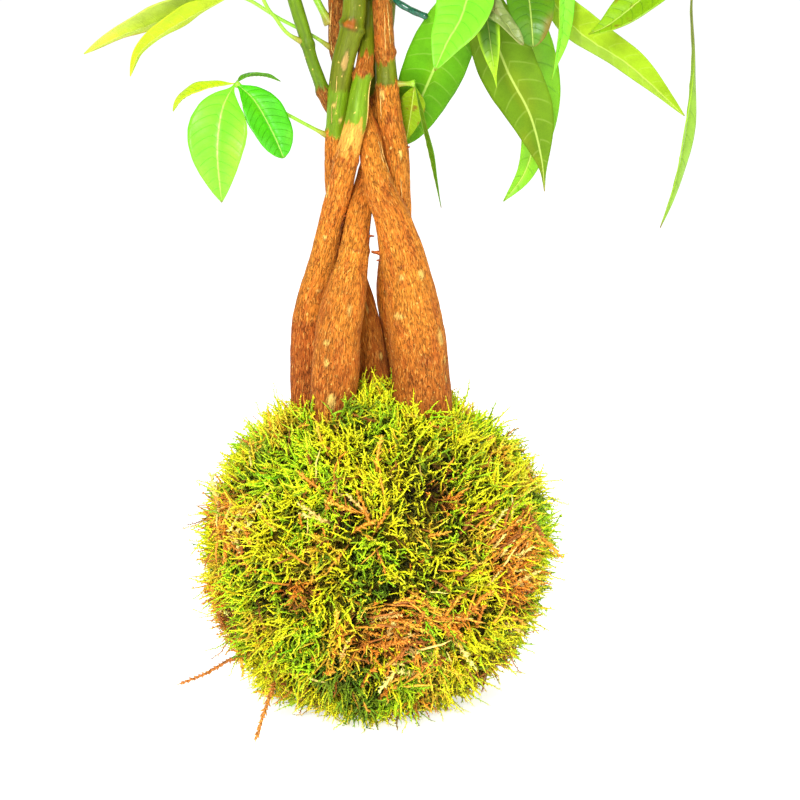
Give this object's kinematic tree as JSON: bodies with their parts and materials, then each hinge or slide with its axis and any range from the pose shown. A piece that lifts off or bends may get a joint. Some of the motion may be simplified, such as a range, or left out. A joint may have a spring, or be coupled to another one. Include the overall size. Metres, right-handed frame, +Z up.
{
  "type": "kokedama money tree plant",
  "caption": "Moss-wrapped soil ball with a money tree of braided stems growing out of its top, palm-shaped leaves and a wire tie round the braid.",
  "frame": {"origin": "centre of the flat spot under the moss ball that the plant stands on", "axes": "+Z up along the braid, +X to the plant's right, -Y towards its front"},
  "size_m": [0.3384, 0.2466, 0.434],
  "materials": {
    "moss": "springy mat of fine yellow-green and brown moss strands",
    "soil": "dark damp potting soil pressed into a ball",
    "bark": "orange-brown finely fissured bark, turning to smooth green skin near the top",
    "leaf": "bright green semi-gloss leaf with sunken veins and a paler underside",
    "tie": "dark green plastic coating on a thin garden wire"
  },
  "bodies": {
    "root": {"moss_cover": "moss", "soil_ball": "soil", "stem_left": "bark", "stem_front": "bark", "stem_rear_left": "bark", "stem_right": "bark", "stem_rear_right": "bark", "braid_tie": "tie", "leaf_low_left": "leaf", "leaf_far_left": "leaf", "leaf_side_shoot": "leaf", "leaf_rear_left": "leaf", "leaf_low_right": "leaf", "leaf_front": "leaf", "leaf_hanging": "leaf", "leaf_upper_right": "leaf", "leaf_far_right": "leaf", "crown_leaf_front_left": "leaf", "crown_leaf_back_left": "leaf", "crown_leaf_far_left": "leaf", "crown_leaf_front_right": "leaf", "crown_leaf_back_right": "leaf", "crown_leaf_right": "leaf", "crown_leaf_top": "leaf", "crown_leaf_back": "leaf"}
  },
  "joints": []
}
